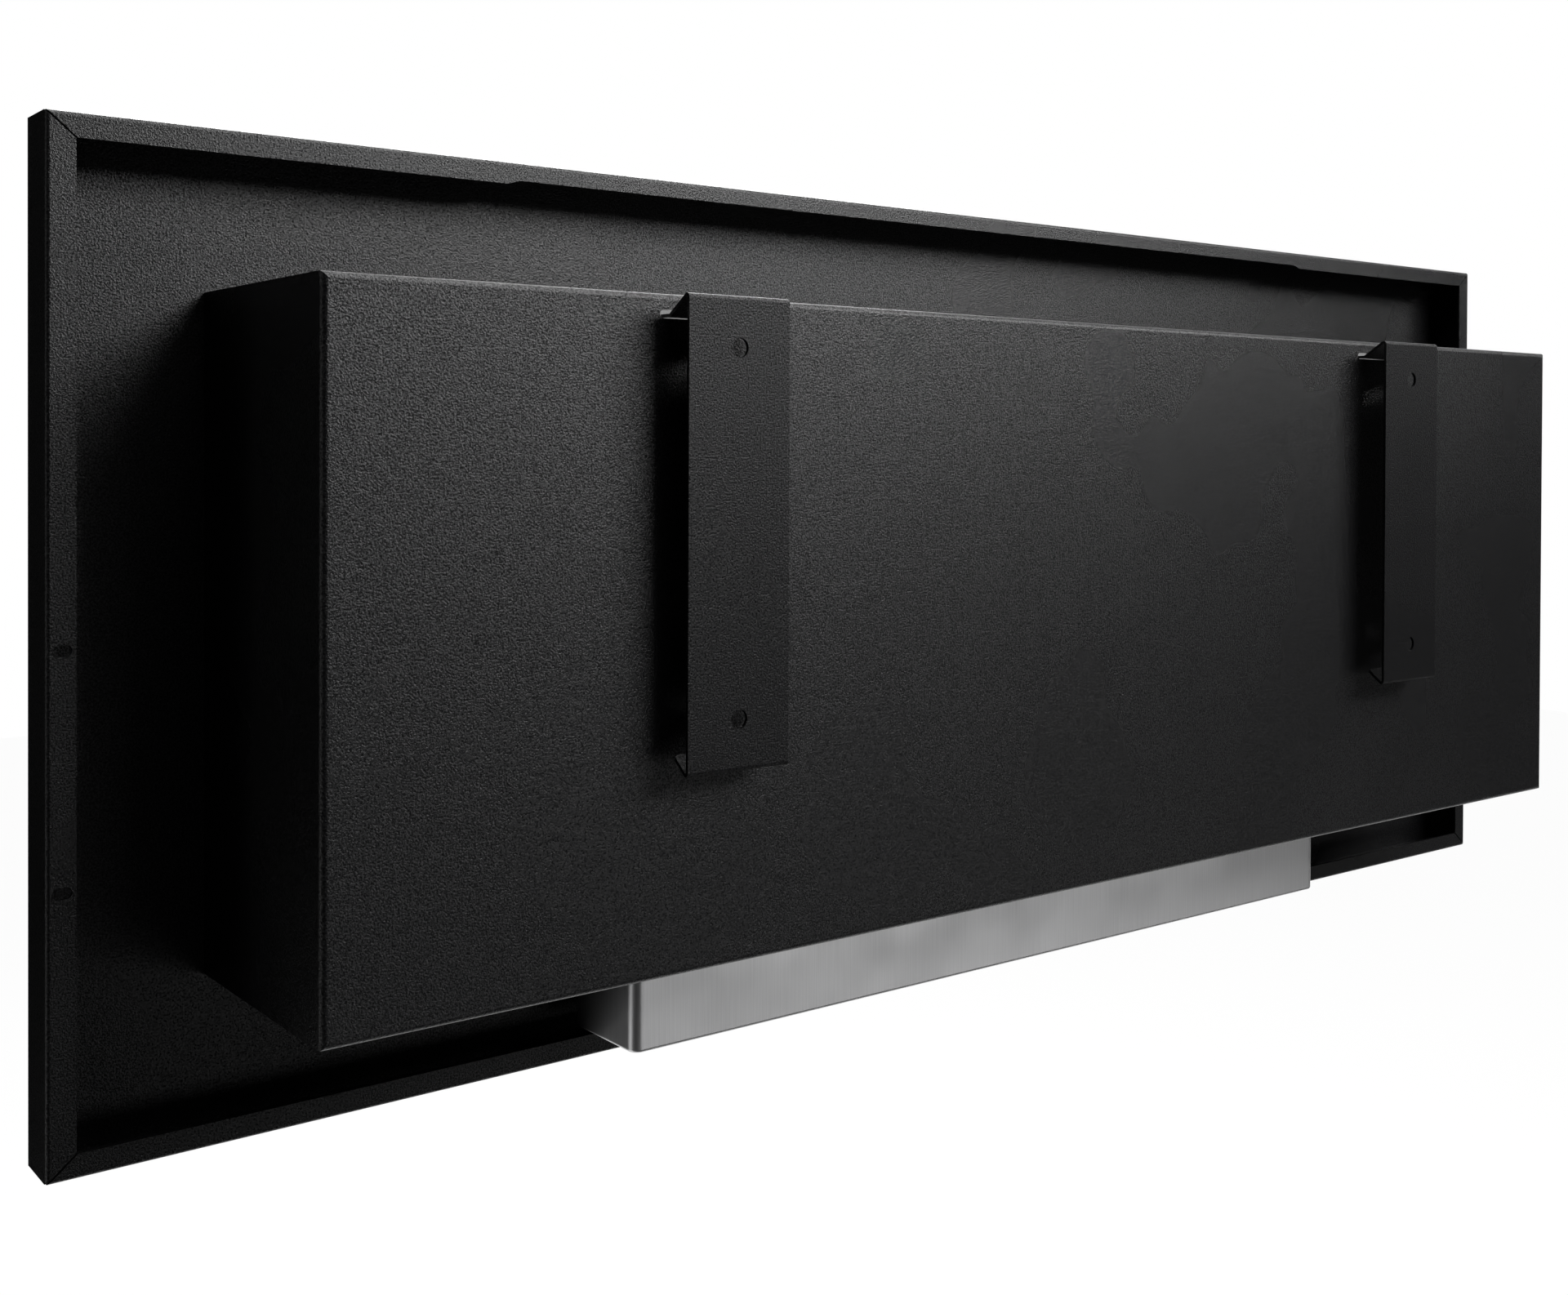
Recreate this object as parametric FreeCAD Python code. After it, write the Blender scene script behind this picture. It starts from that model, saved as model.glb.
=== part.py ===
import FreeCAD, Part
import math
import os

# Wall-hung bioethanol fireplace: a folded front frame, a sheet firebox behind it, two hooked
# wall brackets, and a drop-in stainless burner with two sliding shutters.
#
# Millimetres, +Z up. The front faces -Y and the wall is on the +Y side. Left and right are as
# seen from the front, so right is +X. The origin is the centre of the four wall screw holes,
# on the back faces of the two brackets.

Vector = FreeCAD.Vector
OVERCUT = 1.0                 # how far a cutting tool runs past the sheet that it cuts

# --- Front frame: one folded and mitred sheet ---
FRAME_W = 945.0
FRAME_H = 400.0
FRAME_SHEET = 1.5
RIM_DEPTH = 26.0              # front face to the back of the lips
RIM_BEND = 1.6                # outer radius of the rim's bends
LIP_SIDE = 11.0
LIP_END = 9.5                 # width of the top and bottom lips
RELIEF_DEPTH = 1.8            # the top lip is this much narrower along its middle
RELIEF_INSET = 190.5          # from each end of the frame to the start of the relief
RELIEF_RAMP = 8.5
MITRE_GAP = 0.7
LIP_SLOT_LENGTH = 7.3
LIP_SLOT_WIDTH = 4.5
LIP_SLOT_INSET = 5.8          # from the frame's side to the slot's centre
LIP_SLOT_HEIGHTS = (108.2, 198.8)
COLLAR_DEPTH = 7.0            # front face to the back edge of the window's collar
COLLAR_GAP = 0.2              # between the collar and the casing around it
WINDOW_BEND = 1.2

# --- Firebox casing: one folded and welded sheet ---
CASING_W = 810.0
CASING_H = 276.0
CASING_SHEET = 1.5
CASING_FOLD = 1.0             # inner radius of the folds
UNIT_DEPTH = 120.0            # front of the frame to the outside of the casing's back
CASING_RISE = 61.5            # bottom of the frame to the bottom of the casing
SLOT_SIDE_GAP = 3.25          # bracket slot beyond each side of the bracket
SLOT_OVER = 1.6               # bracket slot above the hook's tongue
SLOT_UNDER = 0.3              # bracket slot below the hook's tongue

# --- Wall brackets ---
BRACKET_W = 50.0
BRACKET_H = 192.0
BRACKET_SHEET = 1.5
BRACKET_FOLD = 0.3            # inner radius of the folds
BRACKET_SPACING = 470.0
BRACKET_DROP = 0.5            # top of the casing to the top of the bracket
STAND_OFF = 16.0              # casing's back to the wall
HOOK_SLOPE = 33.0             # degrees that the top flange falls on its way to the casing
HOOK_DROP = 7.7               # top of the bracket to the level tongue's upper face
HOOK_REACH = 6.0              # tongue past the casing's outer back
TOE_SLOPE = 38.0              # degrees that the bottom flange rises towards the casing
TOE_LENGTH = 13.6             # bottom flange, along its slope from the sharp fold
TIP_CORNER = 2.0
WALL_HOLE_R = 4.0
WALL_HOLE_SPACING = 150.0

# --- Burner tray and tank ---
BURNER_L = 483.0
BURNER_D = 50.0
BURNER_BACK = 68.0            # front of the frame to the tray's back
BURNER_RISE = 12.4            # bottom of the frame to the bottom of the tray
BURNER_SHEET = 1.2
BURNER_CORNER = 5.0
BURNER_FOOT_BEND = 1.5
CUTOUT_GAP = 1.0              # floor cut-out around the tray
TANK_SHEET = 1.0
TANK_GAP = 3.0                # between the tray's walls and the tank
TANK_HEADROOM = 6.0           # tank's rim to the top plate
SPACER_H = 2.8
SPACER_W = 12.0
SPACER_PLACES = (-180.0, -60.0, 60.0, 180.0)
WOOL_GAP = 0.4
WOOL_DEPTH = 32.0
RETAINER_SHEET = 0.8
RETAINER_GAP = 0.5
PERFORATION_R = 2.2
PERFORATION_PITCH = 7.5
PERFORATION_EDGE = 1.0        # least metal between a hole and the sheet's edge

# --- Burner top: plate, gasket, rails, shutters ---
PLATE_SHEET = 2.0
PLATE_OVERHANG_END = 16.5
PLATE_PAST_RAIL = 8.0         # plate beyond the rails' ends, at least
PLATE_OVERHANG_SIDE = 9.0
PLATE_CORNER = 6.0
GASKET_T = 1.0
GASKET_MARGIN = 1.0           # gasket's edge inside the plate's edge
SEAT_GAP = 0.2                # plate above the gasket
FLAME_SLOT_L = 240.0
FLAME_SLOT_D = 24.0
FLAME_SLOT_CORNER = 3.0
RAIL_SHEET = 1.0
RAIL_PAST_STOP = 1.4          # rails beyond the stop pins' centres
RAIL_FOOT = 9.0
RAIL_LIP = 4.2
SHUTTER_SHEET = 1.5
SHUTTER_OVERLAP = 4.0         # shutter longer than half the flame slot
SHUTTER_D = 34.4
SHUTTER_CORNER = 2.0
SHUTTER_PLAY = 0.4            # around the shutter in its rails
SHUTTER_MEET_GAP = 0.8        # between the two shutters when shut
SHUTTER_CLEAR = 2.0           # open shutter's edge beyond the end of the flame slot
STOP_GAP = 0.6
STOP_R = 2.0
STOP_H = 3.4
RIVET_R = 1.5
RIVET_HEAD_R = 2.6
RIVET_HEAD_H = 1.3
RIVET_GAP = 0.05
RIVETS_PER_RAIL = 5
KNOB_R = 5.0
KNOB_H = 14.0
KNOB_BAND = 2.5               # height of the knob's foot and of its head
KNOB_NECK_R = 3.4
KNOB_STUD_R = 2.0
KNOB_EYE_R = 1.8
KNOB_EDGE = 0.8

# --- Places worked out from the sizes above ---
Z_CASING_TOP = BRACKET_H / 2 + BRACKET_DROP
Z_CASING = Z_CASING_TOP - CASING_H
Z_FRAME = Z_CASING - CASING_RISE
Z_FRAME_TOP = Z_FRAME + FRAME_H
Z_FLOOR = Z_CASING + CASING_SHEET
Y_CASING_BACK = -STAND_OFF
Y_FRONT = Y_CASING_BACK - UNIT_DEPTH
Y_PANEL_BACK = Y_FRONT + FRAME_SHEET
Y_RIM = Y_FRONT + RIM_DEPTH
CASING_BEND = CASING_SHEET + CASING_FOLD
BRACKET_BEND = BRACKET_SHEET + BRACKET_FOLD
Z_SLOT = BRACKET_H / 2 - HOOK_DROP - BRACKET_SHEET - SLOT_UNDER
SLOT_HEIGHT = SLOT_UNDER + BRACKET_SHEET + SLOT_OVER
Y_BURNER = Y_FRONT + BURNER_BACK - BURNER_D / 2
Z_TRAY = Z_FRAME + BURNER_RISE
Z_PLATE = Z_FLOOR + GASKET_T + SEAT_GAP
Z_PLATE_TOP = Z_PLATE + PLATE_SHEET
Z_TANK = Z_TRAY + BURNER_SHEET + SPACER_H
Z_TANK_RIM = Z_PLATE - TANK_HEADROOM
TANK_L = BURNER_L - 2 * (BURNER_SHEET + TANK_GAP)
TANK_D = BURNER_D - 2 * (BURNER_SHEET + TANK_GAP)
TANK_CORNER = BURNER_CORNER - BURNER_SHEET
WINDOW_W = CASING_W - 2 * (CASING_SHEET + COLLAR_GAP + FRAME_SHEET)
WINDOW_H = CASING_H - 2 * (CASING_SHEET + COLLAR_GAP + FRAME_SHEET)
Z_WINDOW = Z_FLOOR + COLLAR_GAP + FRAME_SHEET
PLATE_D = BURNER_D + 2 * PLATE_OVERHANG_SIDE
Z_SHUTTER = Z_PLATE_TOP + SHUTTER_PLAY
X_SHUTTER_OPEN = FLAME_SLOT_L / 2 + SHUTTER_CLEAR
RAIL_CHANNEL = SHUTTER_SHEET + 2 * SHUTTER_PLAY
Y_RISER = SHUTTER_D / 2 + SHUTTER_PLAY
SHUTTER_TRAVEL = X_SHUTTER_OPEN - SHUTTER_MEET_GAP / 2
SHUTTER_L = FLAME_SLOT_L / 2 + SHUTTER_OVERLAP
X_STOP = X_SHUTTER_OPEN + SHUTTER_L + STOP_GAP + STOP_R
RAIL_L = 2 * (X_STOP + RAIL_PAST_STOP)
PLATE_L = max(BURNER_L + 2 * PLATE_OVERHANG_END, RAIL_L + 2 * PLATE_PAST_RAIL)
RETAINER_D = TANK_D - 2 * (TANK_SHEET + RETAINER_GAP)
PERFORATION_ROW_PITCH = PERFORATION_PITCH * math.sqrt(3) / 2
PERFORATION_SIDE_ROWS = int((RETAINER_D / 2 - PERFORATION_R - PERFORATION_EDGE)
                            / PERFORATION_ROW_PITCH)


def block(x0, x1, y0, y1, z0, z1):
    """A box between two corners."""
    return Part.makeBox(x1 - x0, y1 - y0, z1 - z0, Vector(x0, y0, z0))


def edges_where(shape, test):
    """The straight edges whose middle point and direction pass a test."""
    found = []
    for edge in shape.Edges:
        ends = edge.Vertexes
        if len(ends) == 2:
            direction = ends[1].Point.sub(ends[0].Point)
            if direction.Length > 0 and test(edge.CenterOfMass, direction.normalize()):
                found.append(edge)
    return found


def rounded_block(length, depth, height, corner, centre_y, z0, centre_x=0.0):
    """An upright block with rounded vertical corners, centred on X and Y."""
    body = block(centre_x - length / 2, centre_x + length / 2,
                 centre_y - depth / 2, centre_y + depth / 2, z0, z0 + height)
    upright = edges_where(body, lambda middle, way: abs(way.z) > 0.99)
    return body.makeFillet(corner, upright)


def cylinder_y(radius, x, z, y0, y1):
    """A cylinder along Y."""
    return Part.makeCylinder(radius, y1 - y0, Vector(x, y0, z), Vector(0, 1, 0))


def slot_y(length, height, x, z, y0, y1):
    """A cutter for a horizontal slot with round ends, along Y."""
    reach = (length - height) / 2
    middle = block(x - reach, x + reach, y0, y1, z - height / 2, z + height / 2)
    ends = [cylinder_y(height / 2, x + side * reach, z, y0, y1) for side in (-1, 1)]
    return middle.multiFuse(ends)


def ramp(x0, z0, x1, z1, y):
    """Two equal tangent arcs that step from one level to another."""
    run = x1 - x0
    rise = z1 - z0
    middle = Vector((x0 + x1) / 2, y, (z0 + z1) / 2)
    radius = (run * run + rise * rise) / (4 * abs(rise))
    sag = radius - math.sqrt(radius * radius - (run / 4) ** 2)
    bulge = math.copysign(sag, rise)
    first = Vector(x0 + run / 4, y, z0 + bulge)
    second = Vector(x1 - run / 4, y, z1 - bulge)
    return [Part.Arc(Vector(x0, y, z0), first, middle).toShape(),
            Part.Arc(middle, second, Vector(x1, y, z1)).toShape()]


def rear_opening():
    """The cutter for the space between the lips, with the relief in the top lip."""
    y = Y_RIM - FRAME_SHEET - OVERCUT
    side = FRAME_W / 2 - LIP_SIDE
    low = Z_FRAME + LIP_END
    high = Z_FRAME_TOP - LIP_END
    raised = high + RELIEF_DEPTH
    start = FRAME_W / 2 - RELIEF_INSET
    end = start - RELIEF_RAMP

    def run(x0, z0, x1, z1):
        return Part.LineSegment(Vector(x0, y, z0), Vector(x1, y, z1)).toShape()

    edges = [run(-side, low, side, low), run(side, low, side, high), run(side, high, start, high)]
    edges += ramp(start, high, end, raised, y)
    edges.append(run(end, raised, -end, raised))
    edges += ramp(-end, raised, -start, high, y)
    edges += [run(-start, high, -side, high), run(-side, high, -side, low)]
    face = Part.Face(Part.Wire(edges))
    return face.extrude(Vector(0, FRAME_SHEET + 2 * OVERCUT, 0))


def mitre_cutter(side, top):
    """The narrow gap between two lips at one corner, out to the frame's corner."""
    corner = Vector(side * FRAME_W / 2, 0, Z_FRAME_TOP if top else Z_FRAME)
    inward = Vector(-side * LIP_SIDE, 0, -LIP_END if top else LIP_END)
    along = Vector(inward).normalize()
    across = Vector(along.z, 0, -along.x) * (MITRE_GAP / 2)
    near = corner - along * OVERCUT
    far = corner + inward + along * OVERCUT
    depth = Vector(0, Y_RIM - FRAME_SHEET - RIM_BEND / 2, 0)
    points = [near + across, far + across, far - across, near - across, near + across]
    face = Part.Face(Part.makePolygon([point + depth for point in points]))
    return face.extrude(Vector(0, FRAME_SHEET + RIM_BEND, 0))


def front_frame():
    """Panel with a window and its collar, and a rim folded back to mitred lips."""
    half = FRAME_W / 2
    outer = block(-half, half, Y_FRONT, Y_RIM, Z_FRAME, Z_FRAME_TOP)
    bends = edges_where(outer, lambda middle, way: abs(way.y) < 0.01)
    outer = outer.makeFillet(RIM_BEND, bends)
    inner = block(-half + FRAME_SHEET, half - FRAME_SHEET, Y_PANEL_BACK, Y_RIM - FRAME_SHEET,
                  Z_FRAME + FRAME_SHEET, Z_FRAME_TOP - FRAME_SHEET)
    collar_w = WINDOW_W / 2 + FRAME_SHEET
    collar = block(-collar_w, collar_w, Y_FRONT + FRAME_SHEET / 2, Y_FRONT + COLLAR_DEPTH,
                   Z_WINDOW - FRAME_SHEET, Z_WINDOW + WINDOW_H + FRAME_SHEET)
    window = block(-WINDOW_W / 2, WINDOW_W / 2, Y_FRONT - OVERCUT, Y_RIM,
                   Z_WINDOW, Z_WINDOW + WINDOW_H)
    cutters = [rear_opening()]
    cutters += [mitre_cutter(side, top) for side in (-1, 1) for top in (False, True)]
    for side in (-1, 1):
        for height in LIP_SLOT_HEIGHTS:
            cutters.append(slot_y(LIP_SLOT_LENGTH, LIP_SLOT_WIDTH, side * (half - LIP_SLOT_INSET),
                                  Z_FRAME + height, Y_RIM - FRAME_SHEET - OVERCUT,
                                  Y_RIM + OVERCUT))
    frame = outer.cut(inner).fuse(collar).cut(window)
    frame = frame.cut(Part.makeCompound(cutters)).removeSplitter()
    rim = edges_where(frame, lambda middle, way: abs(middle.y - Y_FRONT) < 0.01
                      and abs(middle.x) < WINDOW_W / 2 + 0.1
                      and abs(middle.z - Z_WINDOW - WINDOW_H / 2) < WINDOW_H / 2 + 0.1)
    return frame.makeFillet(WINDOW_BEND, rim)


def firebox_casing():
    """Back and four walls, with two bracket slots and the burner's cut-out."""
    half = CASING_W / 2
    outer = block(-half, half, Y_PANEL_BACK, Y_CASING_BACK, Z_CASING, Z_CASING_TOP)
    back = edges_where(outer, lambda middle, way: abs(middle.y - Y_CASING_BACK) < 0.01)
    outer = outer.makeFillet(CASING_BEND, back)
    inner = block(-half + CASING_SHEET, half - CASING_SHEET, Y_PANEL_BACK - OVERCUT,
                  Y_CASING_BACK - CASING_SHEET, Z_FLOOR, Z_CASING_TOP - CASING_SHEET)
    back = edges_where(inner, lambda middle, way: middle.y > Y_CASING_BACK - CASING_SHEET - 0.01)
    inner = inner.makeFillet(CASING_FOLD, back)
    cutters = []
    for side in (-1, 1):
        cutters.append(slot_y(BRACKET_W + 2 * SLOT_SIDE_GAP, SLOT_HEIGHT,
                              side * BRACKET_SPACING / 2, Z_SLOT + SLOT_HEIGHT / 2,
                              Y_CASING_BACK - CASING_SHEET - OVERCUT, Y_CASING_BACK + OVERCUT))
    cutters.append(rounded_block(BURNER_L + 2 * CUTOUT_GAP, BURNER_D + 2 * CUTOUT_GAP,
                                 CASING_SHEET + 2 * OVERCUT, BURNER_CORNER + CUTOUT_GAP,
                                 Y_BURNER, Z_CASING - OVERCUT))
    return outer.cut(inner).cut(Part.makeCompound(cutters))


def offset_path(points, thickness):
    """The points of a folded sheet's other face, with sharp folds."""
    lines = []
    for (y0, z0), (y1, z1) in zip(points, points[1:]):
        length = math.hypot(y1 - y0, z1 - z0)
        way = ((y1 - y0) / length, (z1 - z0) / length)
        shift = (way[1] * thickness, -way[0] * thickness)
        lines.append(((y0 + shift[0], z0 + shift[1]), (y1 + shift[0], z1 + shift[1]), way))
    moved = [lines[0][0]]
    for (start, _, way), (following, _, turn) in zip(lines, lines[1:]):
        cross = way[0] * turn[1] - way[1] * turn[0]
        gap = (following[0] - start[0], following[1] - start[1])
        reach = (gap[0] * turn[1] - gap[1] * turn[0]) / cross
        moved.append((start[0] + reach * way[0], start[1] + reach * way[1]))
    moved.append(lines[-1][1])
    return moved


def fold_rise(slope):
    """How far a sharp fold stands past the highest point of its rounded outside."""
    return BRACKET_BEND * (1 / math.tan((math.pi / 2 - slope) / 2) - 1)


def wall_bracket(side):
    """A strip with a hook above, whose tongue enters the casing, and a toe below."""
    hook = math.radians(HOOK_SLOPE)
    toe = math.radians(TOE_SLOPE)
    top = BRACKET_H / 2 + fold_rise(hook)
    bottom = -BRACKET_H / 2 - fold_rise(toe)
    tongue = BRACKET_H / 2 - HOOK_DROP
    fold = (tongue - top) / math.tan(hook)
    outer = [(-TOE_LENGTH * math.cos(toe), bottom + TOE_LENGTH * math.sin(toe)), (0.0, bottom),
             (0.0, top), (fold, tongue), (-STAND_OFF - HOOK_REACH, tongue)]
    inner = offset_path(outer, -BRACKET_SHEET)
    x0 = side * BRACKET_SPACING / 2 - BRACKET_W / 2
    corners = outer + inner[::-1] + outer[:1]
    wire = Part.makePolygon([Vector(x0, y, z) for y, z in corners])
    bracket = Part.Face(wire).extrude(Vector(BRACKET_W, 0, 0))

    def at_fold(places):
        return edges_where(bracket, lambda middle, way: abs(way.x) > 0.99 and any(
            math.hypot(middle.y - y, middle.z - z) < 0.01 for y, z in places))

    bracket = bracket.makeFillet(BRACKET_BEND, at_fold([outer[1], outer[2], inner[3]]))
    bracket = bracket.makeFillet(BRACKET_FOLD, at_fold([inner[1], inner[2], outer[3]]))
    tips = edges_where(bracket, lambda middle, way: abs(way.x) < 0.01
                       and middle.y < -STAND_OFF / 2 and abs(way.y) < math.cos(toe) - 0.1)
    bracket = bracket.makeFillet(TIP_CORNER, tips)
    holes = [cylinder_y(WALL_HOLE_R, side * BRACKET_SPACING / 2, level * WALL_HOLE_SPACING / 2,
                        -BRACKET_SHEET - OVERCUT, OVERCUT) for level in (-1, 1)]
    return bracket.cut(Part.makeCompound(holes))


def burner_tray():
    """Outer safety tray that hangs through the floor, open at the top."""
    height = Z_PLATE - Z_TRAY
    outer = rounded_block(BURNER_L, BURNER_D, height, BURNER_CORNER, Y_BURNER, Z_TRAY)
    foot = [edge for edge in outer.Edges if abs(edge.CenterOfMass.z - Z_TRAY) < 0.01]
    outer = outer.makeFillet(BURNER_FOOT_BEND, foot)
    inner = rounded_block(BURNER_L - 2 * BURNER_SHEET, BURNER_D - 2 * BURNER_SHEET, height,
                          BURNER_CORNER - BURNER_SHEET, Y_BURNER, Z_TRAY + BURNER_SHEET)
    return outer.cut(inner)


def fuel_tank():
    """Inner tank that holds the fuel and the wool."""
    outer = rounded_block(TANK_L, TANK_D, Z_TANK_RIM - Z_TANK, TANK_CORNER, Y_BURNER, Z_TANK)
    inner = rounded_block(TANK_L - 2 * TANK_SHEET, TANK_D - 2 * TANK_SHEET, Z_TANK_RIM - Z_TANK,
                          TANK_CORNER - TANK_SHEET, Y_BURNER, Z_TANK + TANK_SHEET)
    return outer.cut(inner)


def tank_spacers():
    """Strips across the tray that hold the tank off its floor."""
    reach = TANK_D / 2
    strips = [block(x - SPACER_W / 2, x + SPACER_W / 2, Y_BURNER - reach, Y_BURNER + reach,
                    Z_TRAY + BURNER_SHEET, Z_TANK) for x in SPACER_PLACES]
    return Part.makeCompound(strips)


def fuel_wool(side):
    """One of the two ceramic wool pads that fill the tank end to end."""
    length = TANK_L / 2 - TANK_SHEET - 1.5 * WOOL_GAP
    centre = side * (length + WOOL_GAP) / 2
    depth = TANK_D - 2 * (TANK_SHEET + WOOL_GAP)
    return rounded_block(length, depth, WOOL_DEPTH, TANK_CORNER - TANK_SHEET, Y_BURNER,
                         Z_TANK + TANK_SHEET + WOOL_GAP, centre)


def wool_retainer():
    """Perforated sheet that lies on the wool under the flame slot."""
    z0 = Z_TANK + TANK_SHEET + 2 * WOOL_GAP + WOOL_DEPTH
    sheet = rounded_block(TANK_L - 2 * (TANK_SHEET + RETAINER_GAP), RETAINER_D, RETAINER_SHEET,
                          TANK_CORNER - TANK_SHEET, Y_BURNER, z0)
    holes = []
    for row in range(-PERFORATION_SIDE_ROWS, PERFORATION_SIDE_ROWS + 1):
        y = Y_BURNER + row * PERFORATION_ROW_PITCH
        shift = PERFORATION_PITCH / 2 if row % 2 else 0.0
        count = int((FLAME_SLOT_L / 2 - shift) / PERFORATION_PITCH)
        places = [shift + step * PERFORATION_PITCH for step in range(count + 1)]
        places += [-x for x in places if x > 0]
        holes += [Part.makeCylinder(PERFORATION_R, RETAINER_SHEET + 2 * OVERCUT,
                                    Vector(x, y, z0 - OVERCUT)) for x in places]
    return sheet.cut(Part.makeCompound(holes))


def rivet_places():
    """X and Y of each rivet through the rails' feet."""
    y = Y_RISER + RAIL_SHEET + (RAIL_FOOT - RAIL_SHEET) / 2
    reach = RAIL_L / 2 - RAIL_FOOT
    pitch = 2 * reach / (RIVETS_PER_RAIL - 1)
    return [(-reach + step * pitch, Y_BURNER + side * y)
            for side in (-1, 1) for step in range(RIVETS_PER_RAIL)]


def burner_top_plate():
    """Plate that carries the burner on the floor, with the flame slot."""
    plate = rounded_block(PLATE_L, PLATE_D, PLATE_SHEET, PLATE_CORNER, Y_BURNER, Z_PLATE)
    cutters = [rounded_block(FLAME_SLOT_L, FLAME_SLOT_D, PLATE_SHEET + 2 * OVERCUT,
                             FLAME_SLOT_CORNER, Y_BURNER, Z_PLATE - OVERCUT)]
    places = rivet_places() + [(side * X_STOP, Y_BURNER) for side in (-1, 1)]
    cutters += [Part.makeCylinder(RIVET_R + RIVET_GAP, PLATE_SHEET + 2 * OVERCUT,
                                  Vector(x, y, Z_PLATE - OVERCUT)) for x, y in places]
    return plate.cut(Part.makeCompound(cutters))


def top_plate_gasket():
    """Flat ceramic gasket on the floor, around the cut-out."""
    outer = rounded_block(PLATE_L - 2 * GASKET_MARGIN, PLATE_D - 2 * GASKET_MARGIN, GASKET_T,
                          PLATE_CORNER - GASKET_MARGIN, Y_BURNER, Z_FLOOR)
    inner = rounded_block(BURNER_L + 4 * CUTOUT_GAP, BURNER_D + 4 * CUTOUT_GAP,
                          GASKET_T + 2 * OVERCUT, BURNER_CORNER + 2 * CUTOUT_GAP,
                          Y_BURNER, Z_FLOOR - OVERCUT)
    return outer.cut(inner)


def guide_rail(side):
    """Folded rail, with a foot on the plate and a lip over the shutter's edge."""
    def strip(y0, y1, z0, z1):
        low, high = sorted((Y_BURNER + side * y0, Y_BURNER + side * y1))
        return block(-RAIL_L / 2, RAIL_L / 2, low, high, Z_PLATE_TOP + z0, Z_PLATE_TOP + z1)

    height = RAIL_CHANNEL + RAIL_SHEET
    riser = strip(Y_RISER, Y_RISER + RAIL_SHEET, 0.0, height)
    foot = strip(Y_RISER, Y_RISER + RAIL_FOOT, 0.0, RAIL_SHEET)
    lip = strip(Y_RISER + RAIL_SHEET - RAIL_LIP, Y_RISER + RAIL_SHEET, RAIL_CHANNEL, height)
    rail = riser.multiFuse([foot, lip]).removeSplitter()
    crest = edges_where(rail, lambda middle, way: abs(way.x) > 0.99
                        and middle.z > Z_PLATE_TOP + height - 0.01
                        and abs(middle.y - Y_BURNER) > Y_RISER)
    rail = rail.makeFillet(RAIL_SHEET * 0.8, crest)
    holes = [Part.makeCylinder(RIVET_R + RIVET_GAP, RAIL_SHEET + 2 * OVERCUT,
                               Vector(x, y, Z_PLATE_TOP - OVERCUT)) for x, y in rivet_places()]
    return rail.cut(Part.makeCompound(holes))


def dome(radius, height, x, y, z):
    """A low domed head standing on z."""
    ball = (radius * radius + height * height) / (2 * height)
    sphere = Part.makeSphere(ball, Vector(x, y, z + height - ball))
    return sphere.common(block(x - ball, x + ball, y - ball, y + ball, z, z + ball))


def rail_rivets():
    """Domed rivets through the rails' feet and the plate."""
    rivets = []
    for x, y in rivet_places():
        shank = Part.makeCylinder(RIVET_R, PLATE_SHEET + RAIL_SHEET, Vector(x, y, Z_PLATE))
        head = dome(RIVET_HEAD_R, RIVET_HEAD_H, x, y, Z_PLATE_TOP + RAIL_SHEET)
        rivets.append(shank.fuse(head).removeSplitter())
    return Part.makeCompound(rivets)


def shutter_stops():
    """A pin in the plate behind each shutter's open place."""
    pins = []
    for side in (-1, 1):
        shank = Part.makeCylinder(RIVET_R, PLATE_SHEET, Vector(side * X_STOP, Y_BURNER, Z_PLATE))
        pin = Part.makeCylinder(STOP_R, STOP_H, Vector(side * X_STOP, Y_BURNER, Z_PLATE_TOP))
        pins.append(shank.fuse(pin).removeSplitter())
    return Part.makeCompound(pins)


def knob_x(side):
    """X of a shutter's knob while the shutter is open."""
    return side * (X_SHUTTER_OPEN + SHUTTER_L / 2)


def shutter(side):
    """Sliding plate that covers half of the flame slot, shown open."""
    plate = rounded_block(SHUTTER_L, SHUTTER_D, SHUTTER_SHEET, SHUTTER_CORNER, Y_BURNER,
                          Z_SHUTTER, knob_x(side))
    hole = Part.makeCylinder(KNOB_STUD_R + RIVET_GAP, SHUTTER_SHEET + 2 * OVERCUT,
                             Vector(knob_x(side), Y_BURNER, Z_SHUTTER - OVERCUT))
    return plate.cut(hole)


def shutter_knob(side):
    """Turned knob with an eye for the poker, and a stud in the shutter."""
    x = knob_x(side)
    z0 = Z_SHUTTER + SHUTTER_SHEET

    def turned(radius, low, high):
        return Part.makeCylinder(radius, high - low, Vector(x, Y_BURNER, z0 + low))

    head = turned(KNOB_R, KNOB_H - KNOB_BAND, KNOB_H)
    head = head.makeFillet(KNOB_EDGE, [edge for edge in head.Edges if len(edge.Vertexes) == 1])
    foot = turned(KNOB_R, 0.0, KNOB_BAND)
    foot = foot.makeChamfer(KNOB_EDGE, [edge for edge in foot.Edges if len(edge.Vertexes) == 1
                                        and edge.CenterOfMass.z > z0 + KNOB_BAND / 2])
    neck = turned(KNOB_NECK_R, KNOB_BAND / 2, KNOB_H - KNOB_BAND / 2)
    stud = turned(KNOB_STUD_R, -SHUTTER_SHEET, KNOB_BAND / 2)
    knob = neck.multiFuse([head, foot, stud]).removeSplitter()
    return knob.cut(cylinder_y(KNOB_EYE_R, x, z0 + KNOB_H / 2, Y_BURNER - 2 * KNOB_R,
                               Y_BURNER + 2 * KNOB_R))


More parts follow.
